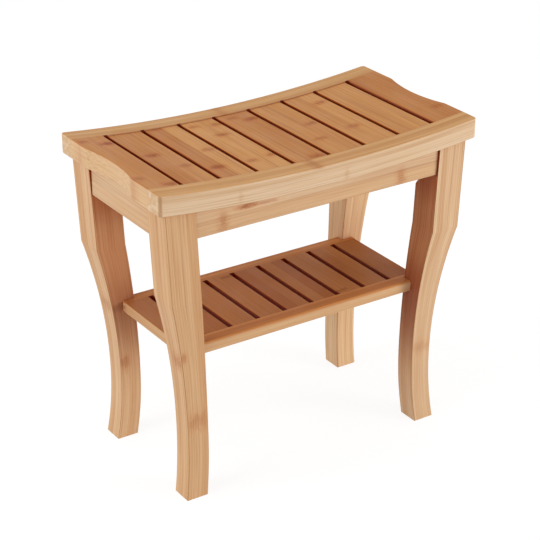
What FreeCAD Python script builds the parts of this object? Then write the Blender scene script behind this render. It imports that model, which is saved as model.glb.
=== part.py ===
"""Bamboo shower bench: a dished slatted seat on four curved legs, with aprons and a slatted shelf.

Millimetres. +X runs along the seat, -Y is the front, +Z is up.
The origin is on the floor, under the middle of the seat.
"""
import FreeCAD, Part
import math
import os
from FreeCAD import Vector

os.makedirs("parts", exist_ok=True)

# Seat
seat_length = 494.0
seat_width = 260.0
seat_end_height = 458.0          # floor to the top of the seat at its two ends
seat_sag = 14.3                  # how far the middle lies below the ends
seat_rail_width = 29.5
seat_rail_height = 27.4
seat_corner_radius = 5.5         # plan radius of the four outer corners
seat_edge_radius = 1.2           # easing along the outer edges of the rails and ends
seat_slat_count = 7              # slats between the two end slats
seat_slat_gap = 5.5
seat_slat_recess = 1.5           # slats lie this far inside the rails, above and below
seat_slat_edge_radius = 1.6
seat_end_slat_width = 48.3       # measured at the corners, before the scoop
seat_end_slat_edge_radius = 3.4  # on its inner edge, which stands above the recessed slats
seat_tongue_thickness = 9.4
seat_tongue_length = 8.5
tongue_clearance = 0.2
end_scoop_chord = 121.0          # hollow in the middle of each seat end
end_scoop_depth = 8.3

# Legs
leg_shoulder_drop = 157.6        # from the top of the seat's ends down to the sharp bend
leg_shoulder_end_inset = 18.3    # from the seat end to the shoulder, along X
leg_shoulder_side_inset = 7.6    # from the seat side to the shoulder, along Y
leg_lean = 0.053                 # outward lean along X above the shoulder, per mm of height
leg_top_width = 43.7             # along X
leg_top_depth = 46.2             # along Y
leg_x_waist_height = 85.0        # height of the waist seen from the front
leg_x_waist_inset = 28.2         # shoulder to waist, outer X face
leg_waist_width = 31.1
leg_y_waist_height = 118.5       # height of the waist seen from the end
leg_y_waist_inset = 15.7         # shoulder to waist, outer Y face
leg_waist_depth = 31.6
foot_x_flare = 6.5               # foot stands out past the waist along X
foot_width = 31.9
foot_y_flare = 5.3               # and along Y
foot_depth = 32.4
leg_edge_radius = 0.9
leg_section_count = 8            # cross-sections from the floor to the shoulder
corner_flat = 10.0               # each side of the 45 degree flat on the leg's inner corner
corner_flat_below_apron = 14.0
corner_flat_runout = 13.0

# Aprons
apron_bottom_drop = 74.0         # from the top of the seat's ends down to the lower edge
apron_thickness = 18.0
apron_front_setback = 3.6        # behind the outer faces of the legs, front and rear
apron_end_setback = 1.6          # at the two ends, from the leg's face at the apron's lower edge
apron_edge_radius = 1.0

# Shelf
shelf_top_height = 217.0
shelf_thickness = 14.5
shelf_rail_width = 21.5
shelf_rail_reach = 15.4          # rails stand out past the inner Y faces of the legs
shelf_end_reach = 17.9           # end slats stand out past the inner X faces of the legs
shelf_rail_edge_radius = 5.5
shelf_slat_count = 7
shelf_slat_gap = 7.0
shelf_end_slat_width = 36.6
shelf_slat_edge_radius = 1.0
shelf_tongue_thickness = 5.0
shelf_tongue_length = 4.0
dowel_diameter = 6.0
dowel_length = 30.0

# Corner brackets and their hanger bolts
bracket_thickness = 2.0
bracket_height = 28.0
bracket_above_apron_bottom = 5.0
bracket_reach = 52.0             # along each apron, from their inner corner to the bend
bracket_flange = 22.0
bolt_diameter = 6.0
bolt_depth_in_leg = 24.0
bolt_end_past_nut = 3.0
washer_diameter = 14.0
washer_thickness = 1.5
nut_across_flats = 10.0
nut_height = 5.0
bracket_screw_diameter = 3.5
bracket_screw_length = 14.0
bracket_screw_head_diameter = 7.0
bracket_screw_head_height = 2.2
bracket_screw_spacing = 14.0

# All wood screws and hanger bolts
point_length = 5.0               # tapered end
screw_head_easing = 0.9
screw_slot_width = 1.1           # each arm of the cross slot
screw_slot_span = 4.0
screw_slot_depth = 1.4

# Screws that hold the seat down on the end aprons
seat_screw_diameter = 4.5
seat_screw_head_diameter = 8.5
seat_screw_head_height = 3.0
seat_screw_bite = 16.0           # length in the end slat
seat_screw_counterbore = 12.0    # depth below the head, up into the apron
seat_screw_spacing = 46.0
counterbore_clearance = 0.5      # all round the head

# Derived seat sizes
half_length = seat_length / 2
half_width = seat_width / 2
seat_radius = (half_length ** 2 + seat_sag ** 2) / (2 * seat_sag)
seat_centre_height = seat_end_height - seat_sag + seat_radius
under_radius = seat_radius + seat_rail_height
rail_inner_y = half_width - seat_rail_width
seat_slat_width = (
    seat_length - 2 * seat_end_slat_width - (seat_slat_count + 1) * seat_slat_gap
) / seat_slat_count
seat_slat_pitch = seat_slat_width + seat_slat_gap
tongue_top_radius = seat_radius + (seat_rail_height - seat_tongue_thickness) / 2
tongue_low_radius = tongue_top_radius + seat_tongue_thickness
scoop_radius = (end_scoop_chord ** 2 / 4 + end_scoop_depth ** 2) / (2 * end_scoop_depth)

# Derived heights
leg_shoulder_height = seat_end_height - leg_shoulder_drop
apron_bottom_height = seat_end_height - apron_bottom_drop
shelf_bottom_height = shelf_top_height - shelf_thickness
bracket_low = apron_bottom_height + bracket_above_apron_bottom
bracket_middle = bracket_low + bracket_height / 2

# Derived leg sizes, for the leg at +X +Y
shoulder_x = half_length - leg_shoulder_end_inset
shoulder_y = half_width - leg_shoulder_side_inset
waist_x = shoulder_x - leg_x_waist_inset
waist_y = shoulder_y - leg_y_waist_inset
inner_waist_x = waist_x - leg_waist_width
inner_waist_y = waist_y - leg_waist_depth
inner_shoulder_x = shoulder_x - leg_top_width
inner_shoulder_y = shoulder_y - leg_top_depth
inner_foot_x = waist_x + foot_x_flare - foot_width
inner_foot_y = waist_y + foot_y_flare - foot_depth

# Derived apron sizes
apron_front_y = shoulder_y - apron_front_setback
apron_back_y = apron_front_y - apron_thickness
apron_lean = leg_lean * (apron_bottom_height - leg_shoulder_height)
apron_end_x = shoulder_x + apron_lean - apron_end_setback
apron_inside_x = apron_end_x - apron_thickness

# Length of a cutter that passes right through any piece
through = seat_length + seat_width + seat_end_height

CORNERS = {
    "front_left": (-1, -1),
    "front_right": (1, -1),
    "rear_left": (-1, 1),
    "rear_right": (1, 1),
}


def box(x0, x1, y0, y1, z0, z1):
    """A block between two corners."""
    return Part.makeBox(x1 - x0, y1 - y0, z1 - z0, Vector(x0, y0, z0))


def rod(start, direction, length, diameter):
    """A round bar from a start point along a direction."""
    return Part.makeCylinder(diameter / 2, length, start, direction)


def pointed_rod(start, direction, length, diameter):
    """A round bar with a tapered far end."""
    straight = length - point_length
    bar = rod(start, direction, straight, diameter)
    point = Part.makeCone(diameter / 2, 0, point_length, start + direction * straight, direction)
    return single(bar.fuse(point))


def mirrored(shape, side_x, side_y):
    """A piece made for the +X +Y corner, carried to another corner."""
    if side_x < 0:
        shape = shape.mirror(Vector(0, 0, 0), Vector(1, 0, 0))
    if side_y < 0:
        shape = shape.mirror(Vector(0, 0, 0), Vector(0, 1, 0))
    return shape


def single(shape):
    """The one solid inside a boolean's result."""
    return shape.removeSplitter().Solids[0]


def prism(edges, push):
    """The solid swept by a closed flat outline along a straight push."""
    return Part.Face(Part.Wire(edges)).extrude(push)


def polygon(points):
    """The edges of a closed straight-sided outline."""
    following = points[1:] + points[:1]
    return [Part.LineSegment(a, b).toShape() for a, b in zip(points, following)]


def seat_height(x, radius):
    """Height at x of the arc that lies at one radius from the seat's centre of curvature."""
    return seat_centre_height - math.sqrt(radius ** 2 - x ** 2)


def seat_band(upper_radius, lower_radius, x0, x1, y0, y1):
    """A layer of the dished seat between two arcs, two X positions and two Y positions."""
    def at(x, radius):
        return Vector(x, y0, seat_height(x, radius))

    middle = (x0 + x1) / 2
    edges = [
        Part.Arc(at(x0, upper_radius), at(middle, upper_radius), at(x1, upper_radius)).toShape(),
        Part.LineSegment(at(x1, upper_radius), at(x1, lower_radius)).toShape(),
        Part.Arc(at(x1, lower_radius), at(middle, lower_radius), at(x0, lower_radius)).toShape(),
        Part.LineSegment(at(x0, lower_radius), at(x0, upper_radius)).toShape(),
    ]
    return prism(edges, Vector(0, y1 - y0, 0))


def edges_where(shape, test):
    """The edges of a shape whose two ends and middle all pass a test on a point."""
    chosen = []
    for edge in shape.Edges:
        middle = edge.valueAt((edge.FirstParameter + edge.LastParameter) / 2)
        points = [vertex.Point for vertex in edge.Vertexes] + [middle]
        if all(test(point) for point in points):
            chosen.append(edge)
    return chosen


def near(a, b):
    """True where two coordinates are the same within a hair."""
    return abs(a - b) < 0.01


def on_seat_arc(point, radius):
    """True for a point on one of the seat's arcs."""
    return near(point.z, seat_height(point.x, radius))


def above_seat_underside():
    """Everything above the underside of the rails, used to trim what stands below them."""
    reach = half_length + seat_rail_width
    roof = seat_end_height + seat_rail_height

    def at(x):
        return Vector(x, -seat_width, seat_height(x, under_radius))

    edges = [
        Part.Arc(at(-reach), at(0), at(reach)).toShape(),
        Part.LineSegment(at(reach), Vector(reach, -seat_width, roof)).toShape(),
        Part.LineSegment(Vector(reach, -seat_width, roof), Vector(-reach, -seat_width, roof)).toShape(),
        Part.LineSegment(Vector(-reach, -seat_width, roof), at(-reach)).toShape(),
    ]
    return prism(edges, Vector(0, 2 * seat_width, 0))


# Wood screws

def make_screw(seat, into, length, diameter, head_diameter, head_height):
    """A cross-slotted wood screw whose head bears on the seat point and whose shank goes into the wood."""
    up = Vector(0, 0, 1)
    head = rod(Vector(0, 0, -head_height), up, head_height, head_diameter)
    rim = edges_where(head, lambda p: near(p.z, -head_height))
    rim = [edge for edge in rim if isinstance(edge.Curve, Part.Circle)]
    head = head.makeFillet(screw_head_easing, rim)
    arm = screw_slot_span / 2
    half_slot = screw_slot_width / 2
    slot_top = screw_slot_depth - head_height
    head = head.cut(box(-arm, arm, -half_slot, half_slot, -head_height, slot_top))
    head = head.cut(box(-half_slot, half_slot, -arm, arm, -head_height, slot_top))
    shank = pointed_rod(Vector(0, 0, 0), up, length, diameter)
    screw = single(head.fuse(shank))
    screw.Placement = FreeCAD.Placement(seat, FreeCAD.Rotation(up, into))
    return screw


# Legs, shaped for the +X +Y corner

def bowed(height, waist_height, foot_rise, shoulder_rise):
    """How far a leg's edge has curved away from its waist at a height up to the shoulder."""
    if height < waist_height:
        return foot_rise * (1 - height / waist_height) ** 2
    return shoulder_rise * ((height - waist_height) / (leg_shoulder_height - waist_height)) ** 2


def leg_sides(height):
    """The leg's inner X, outer X, inner Y and outer Y at a height."""
    if height > leg_shoulder_height:
        lean = leg_lean * (height - leg_shoulder_height)
        return inner_shoulder_x + lean, shoulder_x + lean, inner_shoulder_y, shoulder_y
    inner_x = inner_waist_x + bowed(
        height, leg_x_waist_height, inner_foot_x - inner_waist_x, inner_shoulder_x - inner_waist_x
    )
    outer_x = waist_x + bowed(height, leg_x_waist_height, foot_x_flare, leg_x_waist_inset)
    inner_y = inner_waist_y + bowed(
        height, leg_y_waist_height, inner_foot_y - inner_waist_y, inner_shoulder_y - inner_waist_y
    )
    outer_y = waist_y + bowed(height, leg_y_waist_height, foot_y_flare, leg_y_waist_inset)
    return inner_x, outer_x, inner_y, outer_y


def leg_section(height):
    """The leg's cross-section at a height: a rectangle with eased corners."""
    x0, x1, y0, y1 = leg_sides(height)
    radius = leg_edge_radius
    turn = radius * (1 - math.sqrt(0.5))
    corners = [(x0, y0, 1, 1), (x1, y0, -1, 1), (x1, y1, -1, -1), (x0, y1, 1, -1)]
    arcs = []
    for index, (x, y, in_x, in_y) in enumerate(corners):
        along_x = Vector(x + in_x * radius, y, height)
        along_y = Vector(x, y + in_y * radius, height)
        bend = Vector(x + in_x * turn, y + in_y * turn, height)
        start, end = (along_y, along_x) if index % 2 == 0 else (along_x, along_y)
        arcs.append(Part.Arc(start, bend, end))
    edges = []
    for arc, following in zip(arcs, arcs[1:] + arcs[:1]):
        edges.append(arc.toShape())
        edges.append(Part.LineSegment(arc.EndPoint, following.StartPoint).toShape())
    return Part.Wire(edges)


def make_leg_blank():
    """The curved leg from the floor to the shoulder, and the straight leaning part above it."""
    steps = range(leg_section_count)
    heights = [leg_shoulder_height * step / (leg_section_count - 1) for step in steps]
    lower = Part.makeLoft([leg_section(height) for height in heights], True, False)
    upper = Part.makeLoft(
        [leg_section(leg_shoulder_height), leg_section(seat_end_height)], True, True
    )
    return lower.fuse(upper).Solids[0].cut(above_seat_underside()).Solids[0]


leg_blank = make_leg_blank()
shelf_leg_inner_x, _, shelf_leg_inner_y, _ = leg_sides(shelf_top_height)
bracket_leg_inner_x, _, bracket_leg_inner_y, _ = leg_sides(bracket_middle)


def corner_flat_cutter():
    """The waste of the upright 45 degree flat on the leg's inner corner, with its sloping run-out."""
    full_height = apron_bottom_height - corner_flat_below_apron
    start_height = full_height - corner_flat_runout
    start_x = leg_sides(start_height)[0]
    inward = Vector(-1, -1, 0).normalize()
    along = Vector(1, -1, 0).normalize()
    corner = Vector(bracket_leg_inner_x, bracket_leg_inner_y, 0)
    face = corner - inward * (corner_flat / math.sqrt(2))
    edge = corner + inward * ((bracket_leg_inner_x - start_x) / math.sqrt(2))
    clear = corner + inward * leg_top_width
    up = Vector(0, 0, 1)
    outline = [
        edge + up * start_height,
        face + up * full_height,
        face + up * seat_end_height,
        clear + up * seat_end_height,
        clear + up * start_height,
    ]
    outline = [point - along * leg_top_width for point in outline]
    return prism(polygon(outline), along * (2 * leg_top_width))


# Hanger bolts, washers and nuts, for the +X +Y corner

inward = Vector(-1, -1, 0).normalize()
flat_middle = Vector(
    bracket_leg_inner_x + corner_flat / 2, bracket_leg_inner_y + corner_flat / 2, bracket_middle
)
flat_to_bracket = (
    bracket_reach - (apron_inside_x - flat_middle.x) - (apron_back_y - flat_middle.y)
) / math.sqrt(2)
washer_seat = flat_middle + inward * (flat_to_bracket + bracket_thickness)
nut_seat = washer_seat + inward * washer_thickness


def make_hanger_bolt():
    """The bolt from just past its nut to its pointed end inside the leg."""
    outside = flat_to_bracket + bracket_thickness + washer_thickness + nut_height + bolt_end_past_nut
    start = flat_middle + inward * outside
    return pointed_rod(start, inward * -1, outside + bolt_depth_in_leg, bolt_diameter)


def make_washer():
    """The plain washer under the nut."""
    disc = rod(washer_seat, inward, washer_thickness, washer_diameter)
    return single(disc.cut(make_hanger_bolt()))


def make_nut():
    """The hexagon nut that draws the leg up to the bracket."""
    across_corners = nut_across_flats / math.cos(math.pi / 6)
    sideways = Vector(1, -1, 0).normalize()
    up = Vector(0, 0, 1)
    points = []
    for side in range(6):
        angle = math.pi / 3 * side
        offset = sideways * math.cos(angle) + up * math.sin(angle)
        points.append(nut_seat + offset * (across_corners / 2))
    body = prism(polygon(points), inward * nut_height)
    return single(body.cut(make_hanger_bolt()))


# Corner brackets and their screws, for the +X +Y corner

def from_apron_corner(along_x, along_y, height):
    """A point measured inward from the inner corner of two aprons."""
    return Vector(apron_inside_x - along_x, apron_back_y - along_y, height)


def make_bracket_screws():
    """The screws of one bracket: an upright pair in each flange."""
    middle = bracket_reach + bracket_flange / 2
    screws = []
    for lift in (-bracket_screw_spacing / 2, bracket_screw_spacing / 2):
        height = bracket_middle + lift
        seats = [
            (from_apron_corner(middle, bracket_thickness, height), Vector(0, 1, 0)),
            (from_apron_corner(bracket_thickness, middle, height), Vector(1, 0, 0)),
        ]
        for seat, into_apron in seats:
            screw = make_screw(
                seat,
                into_apron,
                bracket_screw_length,
                bracket_screw_diameter,
                bracket_screw_head_diameter,
                bracket_screw_head_height,
            )
            screws.append(screw)
    return screws


def make_bracket():
    """A steel strip bent across the corner, with a flange on each apron."""
    reach = bracket_reach
    end = bracket_reach + bracket_flange
    thick = bracket_thickness
    bend = reach + thick * (math.sqrt(2) - 1)
    outline = [
        (end, 0),
        (reach, 0),
        (0, reach),
        (0, end),
        (thick, end),
        (thick, bend),
        (bend, thick),
        (end, thick),
    ]
    points = [from_apron_corner(along_x, along_y, bracket_low) for along_x, along_y in outline]
    strip = prism(polygon(points), Vector(0, 0, bracket_height))
    for fastener in make_bracket_screws() + [make_hanger_bolt()]:
        strip = strip.cut(fastener)
    return single(strip)


# Seat rails, end slats and slats

def tongued(body, tongue):
    """A slat's body with the tongue that runs through to both of its ends."""
    return single(body.fuse(tongue))


def seat_tongue(x0, x1):
    """The tongues on the two ends of a seat slat, as one piece through the slat."""
    gap = tongue_clearance / 2
    tip = rail_inner_y + seat_tongue_length - tongue_clearance
    return seat_band(tongue_top_radius + gap, tongue_low_radius - gap, x0, x1, -tip, tip)


def make_seat_rail():
    """The rear rail of the seat, grooved on its inner side for the slats' tongues."""
    rail = seat_band(
        seat_radius, under_radius, -half_length, half_length, rail_inner_y, half_width
    )
    groove = seat_band(
        tongue_top_radius,
        tongue_low_radius,
        -half_length,
        half_length,
        rail_inner_y,
        rail_inner_y + seat_tongue_length,
    )
    rail = single(rail.cut(groove))
    upright = edges_where(rail, lambda p: near(abs(p.x), half_length) and near(p.y, half_width))
    rail = rail.makeFillet(seat_corner_radius, upright)
    rounded_y = half_width - seat_corner_radius
    outer = edges_where(
        rail,
        lambda p: (on_seat_arc(p, seat_radius) or on_seat_arc(p, under_radius))
        and (p.y > rounded_y - 0.01 or near(abs(p.x), half_length)),
    )
    return rail.makeFillet(seat_edge_radius, outer)


def make_seat_slat(x0, x1):
    """One slat of the seat, eased along its two upper edges."""
    top_radius = seat_radius + seat_slat_recess
    body = seat_band(
        top_radius, under_radius - seat_slat_recess, x0, x1, -rail_inner_y, rail_inner_y
    )
    top = edges_where(
        body, lambda p: on_seat_arc(p, top_radius) and (near(p.x, x0) or near(p.x, x1))
    )
    body = body.makeFillet(seat_slat_edge_radius, top)
    return tongued(body, seat_tongue(x0, x1))


def make_seat_end_slat():
    """The slat at the +X end: as thick as the rails, and scooped in the middle of its outer edge."""
    inner_x = half_length - seat_end_slat_width
    body = seat_band(seat_radius, under_radius, inner_x, half_length, -rail_inner_y, rail_inner_y)
    body = tongued(body, seat_tongue(inner_x, half_length))
    scoop_middle = Vector(half_length - end_scoop_depth + scoop_radius, 0, 0)
    scoop = rod(scoop_middle, Vector(0, 0, 1), through, 2 * scoop_radius)
    body = single(body.cut(scoop))
    inner = edges_where(body, lambda p: near(p.x, inner_x) and on_seat_arc(p, seat_radius))
    body = body.makeFillet(seat_end_slat_edge_radius, inner)
    outer = edges_where(
        body,
        lambda p: p.x > half_length - end_scoop_depth - 0.01
        and (on_seat_arc(p, seat_radius) or on_seat_arc(p, under_radius)),
    )
    return body.makeFillet(seat_edge_radius, outer)


def make_seat_screws():
    """The screws that go up through the +X end apron into the end slat."""
    x = apron_inside_x + apron_thickness / 2
    head_top = apron_bottom_height + seat_screw_counterbore
    tip = seat_height(x, under_radius) + seat_screw_bite
    screws = []
    for y in (-seat_screw_spacing, 0, seat_screw_spacing):
        screw = make_screw(
            Vector(x, y, head_top),
            Vector(0, 0, 1),
            tip - head_top,
            seat_screw_diameter,
            seat_screw_head_diameter,
            seat_screw_head_height,
        )
        screws.append(screw)
    return screws


# Aprons

def make_long_apron():
    """The rear apron: straight below, following the seat's underside above."""
    apron = box(
        -shoulder_x, shoulder_x, apron_back_y, apron_front_y, apron_bottom_height, seat_end_height
    )
    lower = edges_where(
        apron,
        lambda p: near(p.z, apron_bottom_height)
        and (near(p.y, apron_back_y) or near(p.y, apron_front_y)),
    )
    apron = apron.makeFillet(apron_edge_radius, lower)
    apron = apron.cut(above_seat_underside())
    for side in (-1, 1):
        apron = apron.cut(mirrored(leg_blank, side, 1))
        for screw in make_bracket_screws():
            apron = apron.cut(mirrored(screw, side, 1))
    return single(apron)


def make_end_apron():
    """The apron at the +X end, bored from below for the seat screws."""
    apron = box(
        apron_inside_x, apron_end_x, -shoulder_y, shoulder_y, apron_bottom_height, seat_end_height
    )
    lower = edges_where(
        apron,
        lambda p: near(p.z, apron_bottom_height)
        and (near(p.x, apron_inside_x) or near(p.x, apron_end_x)),
    )
    apron = apron.makeFillet(apron_edge_radius, lower)
    apron = apron.cut(above_seat_underside())
    for side in (-1, 1):
        apron = apron.cut(mirrored(leg_blank, 1, side))
        for screw in make_bracket_screws():
            apron = apron.cut(mirrored(screw, 1, side))
    bore = seat_screw_head_diameter + 2 * counterbore_clearance
    for screw in make_seat_screws():
        middle = screw.BoundBox.Center
        mouth = Vector(middle.x, middle.y, apron_bottom_height)
        apron = apron.cut(rod(mouth, Vector(0, 0, 1), seat_screw_counterbore, bore))
        apron = apron.cut(screw)
    return single(apron)


# Shelf

shelf_half_length = shelf_leg_inner_x + shelf_end_reach
shelf_rail_outer_y = shelf_leg_inner_y + shelf_rail_reach
shelf_rail_inner_y = shelf_rail_outer_y - shelf_rail_width
shelf_slat_width = (
    2 * (shelf_half_length - shelf_end_slat_width) - (shelf_slat_count + 1) * shelf_slat_gap
) / shelf_slat_count
shelf_slat_pitch = shelf_slat_width + shelf_slat_gap
shelf_tongue_low = shelf_bottom_height + (shelf_thickness - shelf_tongue_thickness) / 2
shelf_tongue_top = shelf_tongue_low + shelf_tongue_thickness


def make_shelf_dowel():
    """The dowel that joins a shelf rail's end to the leg at the +X +Y corner."""
    middle_y = (shelf_leg_inner_y + shelf_rail_outer_y) / 2
    middle_z = shelf_bottom_height + shelf_thickness / 2
    start = Vector(shelf_leg_inner_x - dowel_length / 2, middle_y, middle_z)
    return rod(start, Vector(1, 0, 0), dowel_length, dowel_diameter)


def make_shelf_rail():
    """The rear rail of the shelf, notched round the legs and grooved for the slats."""
    rail = box(
        -shelf_half_length,
        shelf_half_length,
        shelf_rail_inner_y,
        shelf_rail_outer_y,
        shelf_bottom_height,
        shelf_top_height,
    )
    outer_top = edges_where(
        rail, lambda p: near(p.y, shelf_rail_outer_y) and near(p.z, shelf_top_height)
    )
    rail = rail.makeFillet(shelf_rail_edge_radius, outer_top)
    groove = box(
        -shelf_half_length,
        shelf_half_length,
        shelf_rail_inner_y,
        shelf_rail_inner_y + shelf_tongue_length,
        shelf_tongue_low,
        shelf_tongue_top,
    )
    rail = rail.cut(groove)
    for side in (-1, 1):
        rail = rail.cut(mirrored(leg_blank, side, 1))
        rail = rail.cut(mirrored(make_shelf_dowel(), side, 1))
    return single(rail)


def make_shelf_slat(x0, x1):
    """One slat of the shelf, eased along its upper edges and tongued at both ends."""
    body = box(
        x0, x1, -shelf_rail_inner_y, shelf_rail_inner_y, shelf_bottom_height, shelf_top_height
    )
    top = edges_where(
        body, lambda p: near(p.z, shelf_top_height) and (near(p.x, x0) or near(p.x, x1))
    )
    body = body.makeFillet(shelf_slat_edge_radius, top)
    gap = tongue_clearance / 2
    tip = shelf_rail_inner_y + shelf_tongue_length - tongue_clearance
    tongue = box(x0, x1, -tip, tip, shelf_tongue_low + gap, shelf_tongue_top - gap)
    return tongued(body, tongue)


def make_leg():
    """The leg with its corner flat and the holes for its bolt and dowel."""
    leg = leg_blank.cut(corner_flat_cutter())
    leg = leg.cut(make_hanger_bolt())
    leg = leg.cut(make_shelf_dowel())
    return leg.Solids[0]


# Assembly

def bored_end_slat():
    """The end slat with the holes for the seat screws."""
    slat = make_seat_end_slat()
    for screw in make_seat_screws():
        slat = slat.cut(screw)
    return single(slat)


def at_every_corner(solids):
    """Copies of the +X +Y corner's solids at all four corners, as one group."""
    copies = []
    for side_x, side_y in CORNERS.values():
        copies += [mirrored(solid, side_x, side_y) for solid in solids]
    return Part.makeCompound(copies)


pieces = {}
for name, side in {"front": -1, "rear": 1}.items():
    pieces["seat_" + name + "_rail"] = mirrored(make_seat_rail(), 1, side)
    pieces["apron_" + name] = mirrored(make_long_apron(), 1, side)
    pieces["shelf_" + name + "_rail"] = mirrored(make_shelf_rail(), 1, side)
shelf_end_x = shelf_half_length - shelf_end_slat_width
for name, side in {"left": -1, "right": 1}.items():
    pieces["seat_end_slat_" + name] = mirrored(bored_end_slat(), side, 1)
    pieces["apron_" + name] = mirrored(make_end_apron(), side, 1)
    end_slat = make_shelf_slat(shelf_end_x, shelf_half_length)
    pieces["shelf_end_slat_" + name] = mirrored(end_slat, side, 1)
for name, (side_x, side_y) in CORNERS.items():
    pieces["leg_" + name] = mirrored(make_leg(), side_x, side_y)
    pieces["corner_bracket_" + name] = mirrored(make_bracket(), side_x, side_y)
for index in range(seat_slat_count):
    left = -half_length + seat_end_slat_width + seat_slat_gap + index * seat_slat_pitch
    pieces["seat_slat_" + str(index + 1)] = make_seat_slat(left, left + seat_slat_width)
for index in range(shelf_slat_count):
    left = -shelf_end_x + shelf_slat_gap + index * shelf_slat_pitch
    pieces["shelf_slat_" + str(index + 1)] = make_shelf_slat(left, left + shelf_slat_width)
pieces["hanger_bolts"] = at_every_corner([make_hanger_bolt()])
pieces["bracket_washers"] = at_every_corner([make_washer()])
pieces["bracket_nuts"] = at_every_corner([make_nut()])
pieces["bracket_screws"] = at_every_corner(make_bracket_screws())
pieces["shelf_dowels"] = at_every_corner([make_shelf_dowel()])
end_screws = make_seat_screws()
pieces["seat_screws"] = Part.makeCompound(
    end_screws + [mirrored(screw, -1, 1) for screw in end_screws]
)

for name, shape in pieces.items():
    shape.exportStep("parts/" + name + ".step")
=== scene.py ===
"""Looks of the bamboo shower bench: laminated bamboo, zinc plated fasteners, studio and camera.

Metres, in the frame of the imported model: +X along the seat, -Y to the front, +Z up.
"""

import logging
import math
from dataclasses import dataclass, field
from enum import Enum
from typing import Any, Dict, Iterable, List, Optional, Sequence, Tuple

import bpy
from mathutils import Matrix, Vector


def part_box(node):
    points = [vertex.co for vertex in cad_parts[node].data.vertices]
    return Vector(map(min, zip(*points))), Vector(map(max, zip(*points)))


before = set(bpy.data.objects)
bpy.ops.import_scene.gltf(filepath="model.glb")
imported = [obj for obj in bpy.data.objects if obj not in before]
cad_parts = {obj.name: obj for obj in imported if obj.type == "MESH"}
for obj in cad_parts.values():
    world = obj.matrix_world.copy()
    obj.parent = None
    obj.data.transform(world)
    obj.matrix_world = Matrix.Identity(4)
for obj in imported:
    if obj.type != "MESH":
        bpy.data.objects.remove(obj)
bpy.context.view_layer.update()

log = logging.getLogger("shower_bench")

Colour = Tuple[float, float, float, float]
Material = bpy.types.Material
Node = bpy.types.Node
Socket = bpy.types.NodeSocket
Sockets = Dict[str, Socket]
Tree = bpy.types.NodeTree


def srgb(red: int, green: int, blue: int) -> Colour:
    """Turns a display colour into the linear colour that shaders use.

    Args:
        red: Red, 0 to 255.
        green: Green, 0 to 255.
        blue: Blue, 0 to 255.

    Returns:
        Linear red, green, blue and a full alpha.
    """
    def linear(level: int) -> float:
        """One channel from display to linear."""
        share = level / 255.0
        return share / 12.92 if share <= 0.04045 else ((share + 0.055) / 1.055) ** 2.4

    return linear(red), linear(green), linear(blue), 1.0


# Wood colours, from the palest to the stains, and the painted shade colours
WHITE: Colour = (1.0, 1.0, 1.0, 1.0)
STRAW = srgb(216, 187, 154)
HONEY = srgb(204, 169, 131)
OAT = srgb(214, 177, 135)
BISCUIT = srgb(198, 152, 108)
AMBER = srgb(217, 156, 93)
COPPER = srgb(194, 126, 69)
UMBER = srgb(164, 105, 60)
# Painted shade on the upright corners that face the front left
PAINTED_CORNER_SHADE = srgb(160, 114, 68)
RUST = srgb(140, 72, 38)
# Painted shade on the strip of leg face beside each apron
PAINTED_SLIVER_SHADE = srgb(124, 46, 18)
# Painted shade in the slots and inner corners
PAINTED_CREVICE_SHADE = srgb(111, 12, 2)

# Tints that multiply the wood's colour: the joint halo is the wood's own, the top tints are partly the
# boards' face colour and partly painted shade, the foot tint is painted light and the rest are painted shade
# Painted shade round the slots and inner corners
NEAR_CREVICE_SHADE_TINT: Colour = (0.76, 0.42, 0.26, 1.0)
HALO_TINT: Colour = (0.84, 0.55, 0.37, 1.0)
# Tints of the up-facing faces: partly the boards' face colour, partly painted shade
RAIL_TOP_TONE_AND_SHADE: Colour = (1.03, 0.80, 0.51, 1.0)
SLAT_TOP_TONE_AND_SHADE: Colour = (0.89, 0.58, 0.32, 1.0)
SHELF_TOP_TONE_AND_SHADE: Colour = (0.80, 0.54, 0.36, 1.0)
SHELF_RAIL_TOP_TONE_AND_SHADE: Colour = (1.02, 0.70, 0.43, 1.0)
# Painted shade on faces turned inward under the seat and the apron
INWARD_SHADE_TINT: Colour = (0.78, 0.46, 0.32, 1.0)
SHELF_SHADE_TINT: Colour = (0.45, 0.16, 0.12, 1.0)
# Painted light: the floor's bounce on the legs' feet
FOOT_BOUNCE_LIGHT_TINT: Colour = (1.09, 1.13, 1.16, 1.0)

# Places in the frame
CORNERS = ("front_left", "front_right", "rear_left", "rear_right")
SLAT_COUNT = 7
SEAT_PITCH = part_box("seat_slat_2")[0][0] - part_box("seat_slat_1")[0][0]
SHELF_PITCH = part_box("shelf_slat_2")[0][0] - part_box("shelf_slat_1")[0][0]
APRON_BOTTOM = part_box("apron_front")[0][2]
SHELF_LEVEL = sum(corner[2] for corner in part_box("shelf_front_rail")) / 2
# Height at which the painted shade on inward faces is full
INWARD_SHADE_TOP = 0.27

# The circle that the seat is dished along, and the legs' curve
SEAT_DIAMETER = 4.281
LEG_SHOULDER = 0.3004
LEG_LEAN = 0.053
LEG_BLANK = 0.044

# A board or slat that is one strip deep
ONE_STRIP = 0.5

# How open a spot is where the painted crevice shade is darkest, and where it stops
SLAT_CREVICE = (0.36, 0.80)
RAIL_CREVICE = (0.10, 0.30)

# How far the painted shade at a slot's end fades, and how dark it is
SLOT_FADE = 0.0004
SLOT_POWER = 0.92

# Levels of the fibres' noise between which a streak, a dark line and a light line show
STREAK_LEVELS = (0.48, 0.78)
DARK_LEVELS = (0.45, 0.75)
LIGHT_LEVELS = (0.25, 0.45)

# Parts of a normal from which a face starts to count as turned one way, and at which it fully does
END_ON = (0.5, 0.9)
BROAD = (0.5, 0.85)
MARKED = (0.55, 0.85)
UPWARD = (0.35, 0.85)
CORNERWISE = (0.12, 0.55)
INWARD = (-0.6, -0.9)


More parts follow.
